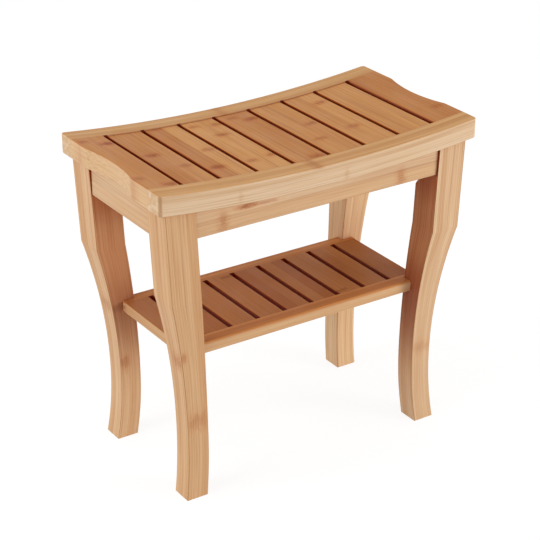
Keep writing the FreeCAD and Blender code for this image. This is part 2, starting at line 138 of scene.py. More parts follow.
class Grain(Enum):
    """The row axis that a piece's fibres run along, and the two axes across them."""

    ALONG_X = ("X", "Y", "Z")
    ALONG_Y = ("Y", "X", "Z")
    ALONG_Z = ("Z", "X", "Y")
    FLAT_X = ("X", "Z", "Y")
    FLAT_Y = ("Y", "Z", "X")


@dataclass
class Graph:
    """A node tree with short ways to add nodes and links."""

    tree: Tree

    def add(self, kind: str, inputs: Optional[Dict[Any, Any]] = None, **settings: Any) -> Node:
        """Adds a node, sets its properties and feeds its inputs.

        Args:
            kind: The node's type name.
            inputs: Sockets, numbers or colours by the input's name or place.
            settings: Property values of the node.

        Returns:
            The new node.
        """
        node = self.tree.nodes.new(kind)
        for name, value in settings.items():
            setattr(node, name, value)
        self.feed(node, inputs or {})
        return node

    def feed(self, node: Node, inputs: Dict[Any, Any]) -> None:
        """Links sockets to a node's inputs, or sets them to numbers or colours.

        Args:
            node: The node.
            inputs: Sockets, numbers or colours by the input's name or place.
        """
        for key, value in inputs.items():
            if isinstance(value, Socket):
                self.tree.links.new(value, node.inputs[key])
            else:
                node.inputs[key].default_value = value

    def math(self, operation: str, *values: Any, clamp: bool = False) -> Socket:
        """Adds a math node with sockets or numbers as its inputs, and gives its result."""
        node = self.add("ShaderNodeMath", dict(enumerate(values)), operation=operation, use_clamp=clamp)
        return node.outputs[0]

    def times(self, first: Any, *others: Any) -> Socket:
        """Multiplies values.

        Args:
            first: A socket or number.
            others: Sockets or numbers to multiply it by.

        Returns:
            The product's socket.
        """
        for other in others:
            first = self.math("MULTIPLY", first, other)
        return first

    def ramp(self, value: Any, low: Any, high: Any, to_low: float = 0.0, to_high: float = 1.0) -> Socket:
        """Maps a value smoothly from one range, low to high, to another."""
        numbers = dict(enumerate((value, low, high, to_low, to_high)))
        return self.add("ShaderNodeMapRange", numbers, interpolation_type="SMOOTHSTEP").outputs[0]

    def mix(self, factor: Any, first: Any, second: Any, blend: str = "MIX") -> Socket:
        """Mixes two colours.

        Args:
            factor: How much of the second colour.
            first: First colour or socket.
            second: Second colour or socket.
            blend: The mix node's blend type.

        Returns:
            The mixed colour's socket.
        """
        node = self.add("ShaderNodeMix", {"Factor": factor}, data_type="RGBA", blend_type=blend)
        places = [index for index, socket in enumerate(node.inputs) if socket.type == "RGBA"]
        self.feed(node, dict(zip(places, (first, second))))
        return next(socket for socket in node.outputs if socket.type == "RGBA")

    def tint(self, factor: Any, colour: Socket, tint: Colour) -> Socket:
        """Multiplies a colour by a tint where a mask is on."""
        return self.mix(factor, colour, tint, "MULTIPLY")

    def vector(self, x: Any, y: Any, z: Any) -> Socket:
        """Joins three values into a vector."""
        return self.add("ShaderNodeCombineXYZ", {"X": x, "Y": y, "Z": z}).outputs[0]

    def split(self, vector: Socket) -> Sockets:
        """Parts a vector into its values by axis."""
        node = self.add("ShaderNodeSeparateXYZ", {0: vector})
        return {axis: node.outputs[axis] for axis in "XYZ"}

    def stretch(self, at: Sockets, across: float, deep: float, along: float) -> Socket:
        """Scales a place by direction of the grain, so that noise read there is drawn out."""
        return self.vector(
            self.times(at["Across"], across), self.times(at["Deep"], deep), self.times(at["Along"], along)
        )

    def noise(self, vector: Socket, scale: float, detail: float = 2.0, rough: float = 0.5) -> Socket:
        """Adds a noise texture and gives its value."""
        inputs = {"Vector": vector, "Scale": scale, "Detail": detail, "Roughness": rough}
        return self.add("ShaderNodeTexNoise", inputs).outputs[0]


@dataclass
class GroupMaker:
    """Builds one shader node group with named sockets."""

    name: str
    inputs: Sequence[Tuple[str, float]]
    outputs: Sequence[str]

    def open(self) -> Tuple[Tree, Graph, Sockets, Node]:
        """Makes the empty group.

        Returns:
            The group, its graph, its inputs by name, and its output node.
        """
        tree = bpy.data.node_groups.new(self.name, "ShaderNodeTree")
        for label, start in self.inputs:
            socket = tree.interface.new_socket(label, in_out="INPUT", socket_type="NodeSocketFloat")
            socket.default_value = start
        for label in self.outputs:
            tree.interface.new_socket(label, in_out="OUTPUT", socket_type="NodeSocketFloat")
        graph = Graph(tree)
        entry = graph.add("NodeGroupInput")
        exit_node = graph.add("NodeGroupOutput")
        return tree, graph, {socket.name: socket for socket in entry.outputs if socket.name}, exit_node


PLACE = (("Along", 0.0), ("Across", 0.0), ("Deep", 0.0), ("Seed", 0.0))


@dataclass(frozen=True)
class LegBow:
    """How a leg curves along one axis: its waist, and how far its sides rise to the foot and the shoulder."""

    waist_height: float
    inner: Tuple[float, float, float]
    outer: Tuple[float, float, float]


LEG_BOW_X = LegBow(0.085, (0.1694, 0.0057, 0.0156), (0.2005, 0.0065, 0.0282))
LEG_BOW_Y = LegBow(0.1185, (0.0751, 0.0045, 0.0011), (0.1067, 0.0053, 0.0157))


class ShaderKit:
    """The shader node groups that the finishes share, each built once."""

    def __init__(self) -> None:
        """Builds every group."""
        self.strips = self._strips()
        self.fibre = self._fibre()
        self.joints = self._joints()
        self.mark = self._mark()
        self.leg_curve = self._leg_curve()
        self.arris = self._arris()
        self.crevice = self._crevice()
        self.handling = self._handling()
        self.plating = self._plating()

    @staticmethod
    def _strips() -> Tree:
        """Glued strips: a tone for each strip, a second tone along it, and the fine glue lines.

        Returns:
            The node group.
        """
        maker = GroupMaker(
            "Bamboo strips",
            PLACE
            + (("Strip Width", 0.02), ("Strip Depth", 0.006), ("Phase Across", 0.0), ("Phase Deep", 0.0),
               ("Seam Width", 0.0004)),
            ("Tone", "Drift", "Seam", "Strip"),
        )
        tree, g, at, out = maker.open()
        cells: List[Socket] = []
        seams: List[Socket] = []
        for axis, size in (("Across", "Strip Width"), ("Deep", "Strip Depth")):
            shifted = g.math("ADD", g.math("DIVIDE", at[axis], at[size]), at[f"Phase {axis}"])
            cells.append(g.math("FLOOR", shifted))
            share = g.math("FRACT", shifted)
            near = g.math("MINIMUM", share, g.math("SUBTRACT", 1.0, share))
            gap = g.math("DIVIDE", g.times(near, at[size]), at["Seam Width"])
            seams.append(g.ramp(gap, 0.3, 1.0, 1.0, 0.0))
        cell = g.vector(cells[0], cells[1], at["Seed"])
        strip = g.add("ShaderNodeTexWhiteNoise", {"Vector": cell}, noise_dimensions="3D").outputs["Value"]
        slow = g.vector(g.times(strip, 40.0), at["Seed"], g.times(at["Along"], 5.0))
        g.feed(out, {
            "Tone": strip,
            "Drift": g.noise(slow, 1.0, 1.0),
            "Seam": g.math("MAXIMUM", seams[0], seams[1]),
            "Strip": g.math("FRACT", g.times(strip, 97.3)),
        })
        return tree

    @staticmethod
    def _fibre() -> Tree:
        """Fibres: fine lines along the grain, and broader streaks.

        Returns:
            The node group.
        """
        tree, g, at, out = GroupMaker("Bamboo fibre", PLACE, ("Fine", "Streak")).open()
        shift = g.times(at["Seed"], 7.91)
        for name, across, along in (("Fine", 820.0, 8.0), ("Streak", 300.0, 1.6)):
            place = g.vector(
                g.math("ADD", g.times(at["Across"], across), shift),
                g.times(at["Deep"], across),
                g.times(at["Along"], along),
            )
            g.feed(out, {name: g.noise(place, 1.0, 2.0, 0.55)})
        return tree

    @staticmethod
    def _joints() -> Tree:
        """The cane's own joints: a brown band across each strip at its own places, with a thin line in it.

        Returns:
            The node group.
        """
        maker = GroupMaker(
            "Bamboo cane joints",
            PLACE + (("Strip", 0.0), ("Spacing", 0.3), ("Half Length", 0.005), ("Share", 0.6)),
            ("Band", "Line"),
        )
        tree, g, at, out = maker.open()
        wander = g.noise(g.vector(g.times(at["Across"], 140.0), at["Seed"], at["Strip"]), 1.0, 1.0)
        bend = g.times(g.math("SUBTRACT", wander, 0.5), 0.006)
        turns = g.math("DIVIDE", g.math("ADD", at["Along"], bend), at["Spacing"])
        turns = g.math("ADD", turns, g.times(at["Strip"], 13.7))
        away = g.times(g.math("SUBTRACT", g.math("FRACT", turns), 0.5), at["Spacing"])
        reach = g.math("DIVIDE", g.math("ABSOLUTE", away), at["Half Length"])
        cell = g.vector(g.math("FLOOR", turns), at["Strip"], 0.0)
        chance = g.add("ShaderNodeTexWhiteNoise", {"Vector": cell}, noise_dimensions="2D").outputs["Value"]
        shown = g.math("LESS_THAN", chance, at["Share"])
        power = g.times(shown, g.math("MULTIPLY_ADD", chance, 0.7, 0.4))
        band = g.ramp(reach, 0.15, 1.0, 1.0, 0.0)
        line = g.ramp(g.math("ABSOLUTE", g.math("SUBTRACT", reach, 0.35)), 0.0, 0.22, 1.0, 0.0)
        g.feed(out, {"Band": g.times(band, power), "Line": g.times(line, power)})
        return tree

    @staticmethod
    def _mark() -> Tree:
        """One brown smudge where a cane joint was planed away: a red halo round a darker, fibrous core.

        Returns:
            The node group.
        """
        maker = GroupMaker(
            "Bamboo joint mark",
            PLACE
            + (("Mark Along", 0.0), ("Mark Across", 0.0), ("Half Length", 0.005), ("Half Width", 0.011),
               ("Strength", 1.0)),
            ("Halo", "Core"),
        )
        tree, g, at, out = maker.open()
        place = g.vector(g.times(at["Across"], 230.0), at["Seed"], g.times(at["Along"], 120.0))
        wobble = g.math("SUBTRACT", g.noise(place, 1.0, 2.0), 0.5)
        lines = g.vector(g.times(at["Across"], 900.0), at["Seed"], g.times(at["Along"], 40.0))
        fibrous = g.ramp(g.noise(lines, 1.0, 1.0), 0.32, 0.62, 0.35, 1.0)
        wide = g.math("DIVIDE", g.math("SUBTRACT", at["Across"], at["Mark Across"]), at["Half Width"])
        tall = g.math("DIVIDE", g.math("SUBTRACT", at["Along"], at["Mark Along"]), at["Half Length"])
        tall = g.math("MULTIPLY_ADD", wobble, 1.9, tall)
        spread = g.math("ADD", g.math("POWER", g.math("ABSOLUTE", wide), 3.0), g.times(tall, tall))
        away = g.math("SQRT", spread)
        halo = g.ramp(away, 0.30, 2.1, 1.0, 0.0)
        core = g.times(g.ramp(away, 0.05, 1.15, 1.0, 0.0), fibrous)
        g.feed(out, {"Halo": g.times(halo, at["Strength"]), "Core": g.times(core, at["Strength"])})
        return tree

    @staticmethod
    def _leg_curve() -> Tree:
        """Straightens a curved leg, so that its strips and fibres follow its bow and taper.

        Returns:
            The node group.
        """
        maker = GroupMaker("Leg curve", (("X", 0.0), ("Y", 0.0), ("Z", 0.0)), ("Across", "Deep"))
        tree, g, at, out = maker.open()
        lean = g.times(g.math("MAXIMUM", g.math("SUBTRACT", at["Z"], LEG_SHOULDER), 0.0), LEG_LEAN)
        for axis, name, bow in (("X", "Across", LEG_BOW_X), ("Y", "Deep", LEG_BOW_Y)):
            foot = g.math("SUBTRACT", 1.0, g.math("DIVIDE", at["Z"], bow.waist_height), clamp=True)
            reach = LEG_SHOULDER - bow.waist_height
            top = g.math("DIVIDE", g.math("SUBTRACT", at["Z"], bow.waist_height), reach, clamp=True)
            foot = g.times(foot, foot)
            top = g.times(top, top)
            sides: List[Socket] = []
            for waist, foot_rise, top_rise in (bow.inner, bow.outer):
                side = g.math("MULTIPLY_ADD", foot, foot_rise, g.math("MULTIPLY_ADD", top, top_rise, waist))
                sides.append(g.math("ADD", side, lean) if axis == "X" else side)
            past = g.math("SUBTRACT", g.math("ABSOLUTE", at[axis]), sides[0])
            share = g.math("DIVIDE", past, g.math("SUBTRACT", sides[1], sides[0]))
            g.feed(out, {name: g.times(share, LEG_BLANK)})
        return tree

    @staticmethod
    def _arris() -> Tree:
        """Edge wear: a mask of the outer edges, broken up by noise.

        Returns:
            The node group.
        """
        tree, g, at, out = GroupMaker("Edge wear", PLACE + (("Radius", 0.0012),), ("Worn",)).open()
        soft = g.add("ShaderNodeBevel", {"Radius": at["Radius"]}, samples=4)
        true = g.add("ShaderNodeNewGeometry")
        normals = {0: soft.outputs["Normal"], 1: true.outputs["Normal"]}
        dot = g.add("ShaderNodeVectorMath", normals, operation="DOT_PRODUCT")
        edge = g.ramp(dot.outputs["Value"], 0.80, 0.985, 1.0, 0.0)
        rubbed = g.ramp(g.noise(g.stretch(at, 120.0, 120.0, 30.0), 1.0, 3.0), 0.42, 0.66)
        g.feed(out, {"Worn": g.times(edge, rubbed)})
        return tree

    @staticmethod
    def _crevice() -> Tree:
        """Painted shade where the wood turns into a narrow slot or an inner corner.

        Returns:
            The node group.
        """
        sockets = (("Reach", 0.012), ("Open", 0.62), ("Closed", 0.34))
        tree, g, at, out = GroupMaker("Painted crevice shade", sockets, ("Deep", "Near")).open()
        shut = g.add("ShaderNodeAmbientOcclusion", {"Distance": at["Reach"]}, samples=8).outputs["AO"]
        g.feed(out, {
            "Deep": g.ramp(shut, at["Closed"], at["Open"], 1.0, 0.0),
            "Near": g.ramp(shut, 0.68, 0.97, 1.0, 0.0),
        })
        return tree

    @staticmethod
    def _handling() -> Tree:
        """How evenly the lacquer shines: dull patches from wiping, and a faint orange peel.

        Returns:
            The node group.
        """
        maker = GroupMaker("Lacquer handling", PLACE + (("Low", 0.36), ("High", 0.52)), ("Roughness", "Peel"))
        tree, g, at, out = maker.open()
        place = g.stretch(at, 1.0, 1.0, 0.6)
        patches = g.ramp(g.noise(place, 38.0, 4.0, 0.6), 0.3, 0.7)
        span = g.math("SUBTRACT", at["High"], at["Low"])
        g.feed(out, {
            "Roughness": g.math("MULTIPLY_ADD", patches, span, at["Low"]),
            "Peel": g.noise(place, 420.0, 1.0),
        })
        return tree

    @staticmethod
    def _plating() -> Tree:
        """Zinc plating: spangle, dull grey patches and fine rolling scratches.

        Returns:
            The node group.
        """
        tree, g, at, out = GroupMaker("Zinc plating", PLACE, ("Spangle", "Dull", "Scratch")).open()
        place = g.vector(at["Across"], at["Deep"], at["Along"])
        crystals = g.add("ShaderNodeTexVoronoi", {"Vector": place, "Scale": 420.0}, feature="F1")
        bright = g.add("ShaderNodeSeparateColor", {0: crystals.outputs["Color"]})
        g.feed(out, {
            "Spangle": bright.outputs[0],
            "Dull": g.ramp(g.noise(place, 90.0, 4.0, 0.6), 0.35, 0.7),
            "Scratch": g.noise(g.stretch(at, 60.0, 2600.0, 60.0), 1.0, 2.0),
        })
        return tree


@dataclass(frozen=True)
class JointMark:
    """A cane joint's brown smudge, placed along and across the grain, on all faces or those of one axis."""

    along: float
    across: float
    half_width: float = 0.011
    half_length: float = 0.0060
    strength: float = 0.8
    face: str = ""


@dataclass(frozen=True)
class LegShade:
    """Soft shade on a leg's inward faces, and the light that the floor throws back on its foot."""

    foot_lift: float
    shelf: float
    apron: float = 0.75
    sliver: float = 0.8
    broad_lift: float = 0.85
    foot_fade: Tuple[float, float] = (0.06, 0.17)
    shelf_start: float = 0.06
    shelf_reach: float = 0.07
    apron_span: Tuple[float, float] = (-0.059, -0.006)
    sliver_span: Tuple[float, float] = (-0.004, 0.001)

    def lay(self, g: Graph, sides: Sockets, inward: Socket, height: Socket, colour: Socket) -> Socket:
        """Shades a leg at the shelf and under the apron, and lightens its foot.

        Args:
            g: The material's graph.
            sides: The three parts of the normal.
            inward: The mask of the inward faces.
            height: The height above the floor.
            colour: The colour so far.

        Returns:
            The shaded colour.
        """
        # Painted light from the floor's bounce, paler towards the foot
        broad = g.ramp(g.math("ABSOLUTE", sides["X"]), *BROAD, 0.0, self.broad_lift)
        bounce = g.ramp(height, *self.foot_fade, self.foot_lift, 0.0)
        colour = g.tint(g.times(g.math("MAXIMUM", inward, broad), bounce), colour, FOOT_BOUNCE_LIGHT_TINT)
        below = g.ramp(height, self.shelf_start, SHELF_LEVEL, 0.0, self.shelf)
        above = g.ramp(height, SHELF_LEVEL, SHELF_LEVEL + self.shelf_reach, self.shelf, 0.0)
        colour = g.tint(g.times(inward, g.math("MINIMUM", below, above)), colour, SHELF_SHADE_TINT)
        # Painted shade on inward faces just under the apron
        if self.apron > 0.0:
            under = g.ramp(height, *(APRON_BOTTOM + end for end in self.apron_span), 0.0, self.apron)
            colour = g.tint(g.times(inward, under), colour, INWARD_SHADE_TINT)
        # Painted shade on the leg's inward faces from the apron's bottom up, where a strip shows beside it
        if self.sliver > 0.0:
            behind = g.ramp(height, *(APRON_BOTTOM + end for end in self.sliver_span), 0.0, self.sliver)
            colour = g.mix(g.times(inward, behind), colour, PAINTED_SLIVER_SHADE)
        return colour


@dataclass
class Canvas:
    """What a bamboo finish draws with: its graph, the shared groups, the grain and the normal."""

    g: Graph
    kit: ShaderKit
    place: Sockets
    sides: Sockets
    strips: Sockets
    fibre: Sockets


@dataclass(frozen=True)
class BambooFinish:
    """Laminated bamboo under a satin lacquer."""

    name: str
    grain: Grain
    pale: Colour
    warm: Colour
    deep: Colour
    strip_width: float
    strip_depth: float
    seed: float
    phase: Tuple[float, float] = (0.0, 0.0)
    dished: bool = False
    leg: Optional[LegShade] = None
    # Painted shade on faces turned inward, and the height at which it starts
    inward_shade: float = 0.0
    inward_shade_start: float = 0.11
    # Tint of the up-facing faces: partly the boards' face colour, partly painted shade
    top_tone_and_shade: Colour = WHITE
    tone_low: float = 0.15
    tone_high: float = 0.85
    tone_share: float = 0.8
    tone_shift: float = -0.35
    drift_share: float = 0.9
    seam_power: float = 0.20
    fine_power: float = 0.26
    light_power: float = 0.10
    end_fine: float = 0.25
    streak_power: float = 0.22
    joint_share: float = 0.0
    joint_spacing: float = 0.30
    joint_power: float = 0.6
    line_share: float = 0.5
    mark_power: float = 0.95
    edge_lift: float = 0.15
    # How strong the painted shade on the front left upright corners is
    corner_shade: float = 0.0
    # Painted shade in slots and inner corners: how dark, where it starts and how far round it reaches
    crevice_power: float = 0.98
    crevice_span: Tuple[float, float] = (0.34, 0.62)
    near_power: float = 0.12
    floor_fade: Tuple[float, float] = (0.006, 0.014)
    # Where the painted shade at the slots' ends falls on a rail's inward face
    slot_pitch: float = 0.0
    slot_half: float = 0.0026
    shine: float = 0.08
    relief: float = 0.18
    relief_depth: float = 0.0003
    marks: Tuple[JointMark, ...] = ()

    def make(self, kit: ShaderKit) -> Material:
        """Builds the material.

        Args:
            kit: The shared node groups.

        Returns:
            The finished material.
        """
        material = bpy.data.materials.new(self.name)
        material.use_nodes = True
        material.diffuse_color = self.pale
        g = Graph(material.node_tree)
        place = self._place(g, kit)
        sides = g.split(g.add("ShaderNodeNewGeometry").outputs["Normal"])
        strips = self._group(g, kit.strips, place, {
            "Strip Width": self.strip_width,
            "Strip Depth": self.strip_depth,
            "Phase Across": self.phase[0],
            "Phase Deep": self.phase[1],
        })
        fibre = self._group(g, kit.fibre, place)
        on = Canvas(g, kit, place, sides, strips, fibre)
        colour = self._joints(on, self._grain_colour(on))
        colour = self._edges(on, self._faces(on, colour))
        shader = material.node_tree.nodes["Principled BSDF"]
        g.feed(shader, {"Base Color": colour})
        self._surface(on, shader)
        return material

    def _place(self, g: Graph, kit: ShaderKit) -> Sockets:
        """Splits the row frame into along, across and deep for this grain.

        Args:
            g: The material's graph.
            kit: The shared node groups.

        Returns:
            The three sockets by name.
        """
        axes = g.split(g.add("ShaderNodeTexCoord").outputs["Object"])
        if self.dished:
            rise = g.math("DIVIDE", g.times(axes["X"], axes["X"]), SEAT_DIAMETER)
            axes["Z"] = g.math("SUBTRACT", axes["Z"], rise)
        if self.leg:
            curve = g.add("ShaderNodeGroup", axes, node_tree=kit.leg_curve)
            return {"Along": axes["Z"], "Across": curve.outputs["Across"], "Deep": curve.outputs["Deep"]}
        return dict(zip(("Along", "Across", "Deep"), (axes[axis] for axis in self.grain.value)))

    def _group(self, g: Graph, tree: Tree, place: Sockets,
               values: Optional[Dict[str, Any]] = None) -> Sockets:
        """Places a shared group with this piece's directions, seed and values, and gives its outputs."""
        node = g.add("ShaderNodeGroup", {**place, "Seed": self.seed, **(values or {})}, node_tree=tree)
        return {socket.name: socket for socket in node.outputs}

    def _grain_colour(self, on: Canvas) -> Socket:
        """Mixes the wood's colour from its strips, streaks, fibres and glue lines.

        Args:
            on: What to draw with.

        Returns:
            The colour.
        """
        g = on.g
        tone = g.math("MULTIPLY_ADD", on.strips["Tone"], self.tone_share, self.tone_shift)
        tone = g.math("MULTIPLY_ADD", on.strips["Drift"], self.drift_share, tone)
        colour = g.mix(g.ramp(tone, self.tone_low, self.tone_high), self.pale, self.warm)
        colour = g.mix(g.ramp(on.fibre["Streak"], *STREAK_LEVELS, 0.0, self.streak_power), colour, self.deep)
        flank = g.ramp(g.math("ABSOLUTE", on.sides[self.grain.value[0]]), *END_ON, 1.0, self.end_fine)
        fine = g.times(g.ramp(on.fibre["Fine"], *DARK_LEVELS, 0.0, self.fine_power), flank)
        colour = g.mix(fine, colour, self.deep)
        light = g.times(g.ramp(on.fibre["Fine"], *LIGHT_LEVELS, self.light_power, 0.0), flank)
        colour = g.mix(light, colour, self.pale, "SCREEN")
        return g.mix(g.times(on.strips["Seam"], self.seam_power), colour, self.deep)

    def _joints(self, on: Canvas, colour: Socket) -> Socket:
        """Lays the cane joints and the single smudges over the colour.

        Args:
            on: What to draw with.
            colour: The colour so far.

        Returns:
            The colour with its joints.
        """
        g = on.g
        bands: List[Socket] = []
        halos: List[Socket] = []
        lines: List[Socket] = []
        if self.joint_share > 0.0:
            joints = self._group(g, on.kit.joints, on.place, {
                "Strip": on.strips["Strip"],
                "Spacing": self.joint_spacing,
                "Share": self.joint_share,
            })
            bands.append(g.times(joints["Band"], self.joint_power))
            halos.append(bands[0])
            lines.append(g.times(joints["Line"], self.joint_power * self.line_share))
        for mark in self.marks:
            values: Dict[str, Any] = {
                "Mark Along": mark.along,
                "Mark Across": mark.across,
                "Half Width": mark.half_width,
                "Half Length": mark.half_length,
                "Strength": mark.strength,
            }
            if mark.face:
                facing = g.math("ABSOLUTE", on.sides[mark.face])
                values["Strength"] = g.ramp(facing, *MARKED, 0.0, mark.strength)
                values["Across"] = on.place["Deep" if mark.face == "X" else "Across"]
            smudge = self._group(g, on.kit.mark, on.place, values)
            bands.append(smudge["Core"])
            halos.append(smudge["Halo"])
        if bands:
            colour = g.tint(self._strongest(g, halos), colour, HALO_TINT)
            colour = g.mix(self._strongest(g, bands), colour, RUST)
        for line in lines:
            colour = g.tint(line, colour, self.deep)
        return colour

    def _strongest(self, g: Graph, masks: Sequence[Socket]) -> Socket:
        """Joins masks by the strongest of them.

        Args:
            g: The material's graph.
            masks: The masks.

        Returns:
            The joined mask at this finish's power.
        """
        joined = masks[0]
        for mask in masks[1:]:
            joined = g.math("MAXIMUM", joined, mask)
        return g.math("MULTIPLY", joined, self.mark_power, clamp=True)

    def _faces(self, on: Canvas, colour: Socket) -> Socket:
        """Tints the faces by where they look: up, partly the boards' face colour and partly painted shade;
        painted shade round the front left upright corners, on faces turned in under the seat and at the
        slots' ends; and on legs, painted shade and painted foot light.

        Args:
            on: What to draw with.
            colour: The colour so far.

        Returns:
            The tinted colour.
        """
        g = on.g
        # Up-facing faces: partly the boards' face colour, partly painted shade
        if self.top_tone_and_shade != WHITE:
            colour = g.tint(g.ramp(on.sides["Z"], *UPWARD), colour, self.top_tone_and_shade)
        # Painted shade on faces that turn to the front left, round the upright corners
        if self.corner_shade > 0.0:
            turned = [g.ramp(g.times(on.sides[axis], -1.0), *CORNERWISE) for axis in "XY"]
            colour = g.mix(g.times(turned[0], turned[1], self.corner_shade), colour, PAINTED_CORNER_SHADE)
        # Painted shade on faces turned in towards the bench's middle, growing with height
        if self.leg or self.inward_shade > 0.0:
            spot = g.split(g.add("ShaderNodeTexCoord").outputs["Object"])
            outward = [g.times(on.sides[axis], g.math("SIGN", spot[axis])) for axis in "XY"]
            inward = g.math("MAXIMUM", *(g.ramp(part, *INWARD) for part in outward))
            shade = g.ramp(spot["Z"], self.inward_shade_start, INWARD_SHADE_TOP, 0.0, self.inward_shade)
            colour = g.tint(g.times(inward, shade), colour, INWARD_SHADE_TINT)
            if self.leg:
                colour = self.leg.lay(g, on.sides, inward, spot["Z"], colour)
            # Painted shade at each slot's end, on the rail's inward face
            if self.slot_pitch > 0.0:
                turns = g.math("FRACT", g.math("DIVIDE", spot["X"], self.slot_pitch))
                away = g.times(g.math("ABSOLUTE", g.math("SUBTRACT", turns, 0.5)), self.slot_pitch)
                end = g.ramp(away, self.slot_half, self.slot_half + SLOT_FADE, SLOT_POWER, 0.0)
                colour = g.mix(g.times(inward, end), colour, PAINTED_CREVICE_SHADE)
        return colour

    def _edges(self, on: Canvas, colour: Socket) -> Socket:
        """Lightens the worn outer edges, and paints shade into the slots and inner corners.

        Args:
            on: What to draw with.
            colour: The colour so far.

        Returns:
            The finished colour.
        """
        g = on.g
        if self.edge_lift > 0.0:
            edge = self._group(g, on.kit.arris, on.place)
            colour = g.mix(g.times(edge["Worn"], self.edge_lift), colour, self.pale)
        # Painted shade in the slots and inner corners from an occlusion mask, kept off the legs' feet
        closed, wide = self.crevice_span
        shut = g.add("ShaderNodeGroup", {"Closed": closed, "Open": wide}, node_tree=on.kit.crevice)
        near = g.times(shut.outputs["Near"], self.near_power)
        deep = g.times(shut.outputs["Deep"], self.crevice_power)
        if self.leg:
            off_floor = g.ramp(on.place["Along"], *self.floor_fade)
            near = g.times(near, off_floor)
            deep = g.times(deep, off_floor)
        colour = g.tint(near, colour, NEAR_CREVICE_SHADE_TINT)
        return g.mix(deep, colour, PAINTED_CREVICE_SHADE)

    def _surface(self, on: Canvas, shader: Node) -> None:
        """Gives the lacquer its shine and the wood its relief.

        Args:
            on: What to draw with.
            shader: The material's shader.
        """
        g = on.g
        handling = self._group(g, on.kit.handling, on.place)
        height = g.math("MULTIPLY_ADD", on.fibre["Fine"], 0.6, g.times(handling["Peel"], 0.15))
        height = g.math("MULTIPLY_ADD", on.strips["Seam"], -0.8, height)
        relief = {"Strength": self.relief, "Distance": self.relief_depth, "Height": height}
        g.feed(shader, {
            "Roughness": handling["Roughness"],
            "Specular IOR Level": self.shine,
            "Normal": g.add("ShaderNodeBump", relief).outputs[0],
        })


@dataclass(frozen=True)
class ZincFinish:
    """Zinc plated mild steel."""

    name: str
    bright: Colour
    dull: Colour
    grain: Grain = Grain.ALONG_X
    spangle: float = 0.18
    worn: float = 0.5
    edge_radius: float = 0.0005
    smooth: float = 0.28
    dull_rough: float = 0.18
    scratch_rough: float = 0.12
    relief: float = 0.25
    relief_depth: float = 0.0001

    def make(self, kit: ShaderKit) -> Material:
        """Builds the material.

        Args:
            kit: The shared node groups.

        Returns:
            The finished material.
        """
        material = bpy.data.materials.new(self.name)
        material.use_nodes = True
        material.diffuse_color = self.bright
        g = Graph(material.node_tree)
        axes = g.split(g.add("ShaderNodeTexCoord").outputs["Object"])
        place = dict(zip(("Along", "Across", "Deep"), (axes[axis] for axis in self.grain.value)))
        plating = g.add("ShaderNodeGroup", place, node_tree=kit.plating).outputs
        edge = g.add("ShaderNodeGroup", {**place, "Radius": self.edge_radius}, node_tree=kit.arris)
        colour = g.mix(plating["Dull"], self.bright, self.dull)
        colour = g.mix(g.times(plating["Spangle"], self.spangle), colour, self.bright)
        colour = g.mix(g.times(edge.outputs["Worn"], self.worn), colour, self.bright)
        rough = g.math("MULTIPLY_ADD", plating["Dull"], self.dull_rough, self.smooth)
        rough = g.math("MULTIPLY_ADD", plating["Scratch"], self.scratch_rough, rough)
        relief = {"Strength": self.relief, "Distance": self.relief_depth, "Height": plating["Scratch"]}
        g.feed(material.node_tree.nodes["Principled BSDF"], {
            "Base Color": colour,
            "Metallic": 1.0,
            "Roughness": rough,
            "Normal": g.add("ShaderNodeBump", relief).outputs[0],
        })
        return material


def dress(names: Iterable[str], material: Material) -> None:
    """Gives CAD nodes a material.

    Args:
        names: The nodes.
        material: Their finish.
    """
    for name in names:
        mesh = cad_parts[name].data
        mesh.materials.clear()
        mesh.materials.append(material)
        log.info("dressed %s with %s", name, material.name)


